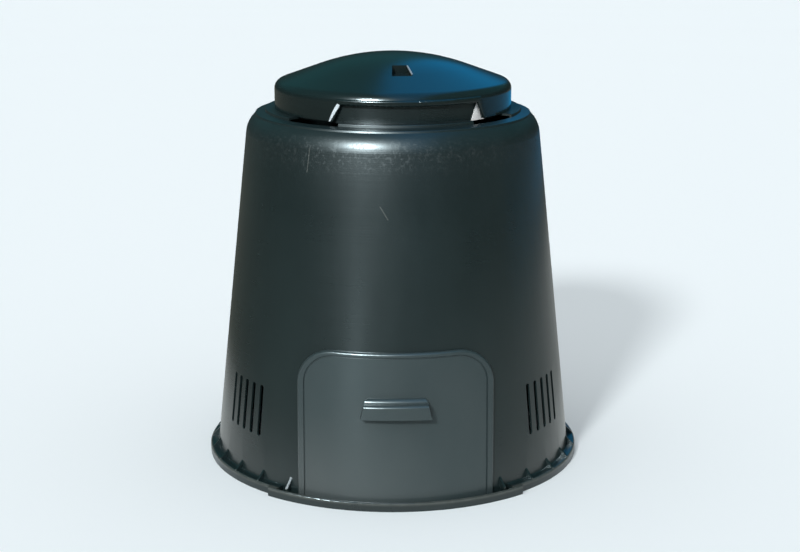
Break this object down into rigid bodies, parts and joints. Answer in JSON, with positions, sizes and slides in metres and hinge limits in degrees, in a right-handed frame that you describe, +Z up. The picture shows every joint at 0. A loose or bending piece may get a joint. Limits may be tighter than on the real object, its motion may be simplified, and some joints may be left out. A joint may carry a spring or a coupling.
{
  "type": "compost bin with lid",
  "caption": "Round tapered compost bin with a lift-off domed lid, air slots beside a hatch that slides up, and a rim to stand on.",
  "frame": {"origin": "centre of the foot on the ground, on the upright centre line", "axes": "+Z up, -Y towards the hatch, +X to the right seen from the front"},
  "size_m": [0.8, 0.8099, 0.8596],
  "materials": {
    "body_plastic": "satin dark green-grey moulded plastic, fine level drag lines and dust",
    "lid_plastic": "satin dark green-grey moulded plastic, smooth",
    "hatch_plastic": "satin dark green-grey moulded plastic, a little paler than the wall",
    "mark_white": "plain white film"
  },
  "bodies": {
    "bin": {"bin_body": "body_plastic", "closing_mark": "mark_white"},
    "lid": {"lid": "lid_plastic"},
    "hatch": {"hatch": "hatch_plastic"}
  },
  "joints": [
    {"name": "lid_lift", "type": "slide", "parent": "bin", "child": "lid", "axis": [0, 0, 1], "range_m": [0, 0.12]},
    {"name": "hatch_slide", "type": "slide", "parent": "bin", "child": "hatch", "axis": [0, 0.108, 0.9942], "range_m": [0, 0.19]}
  ]
}
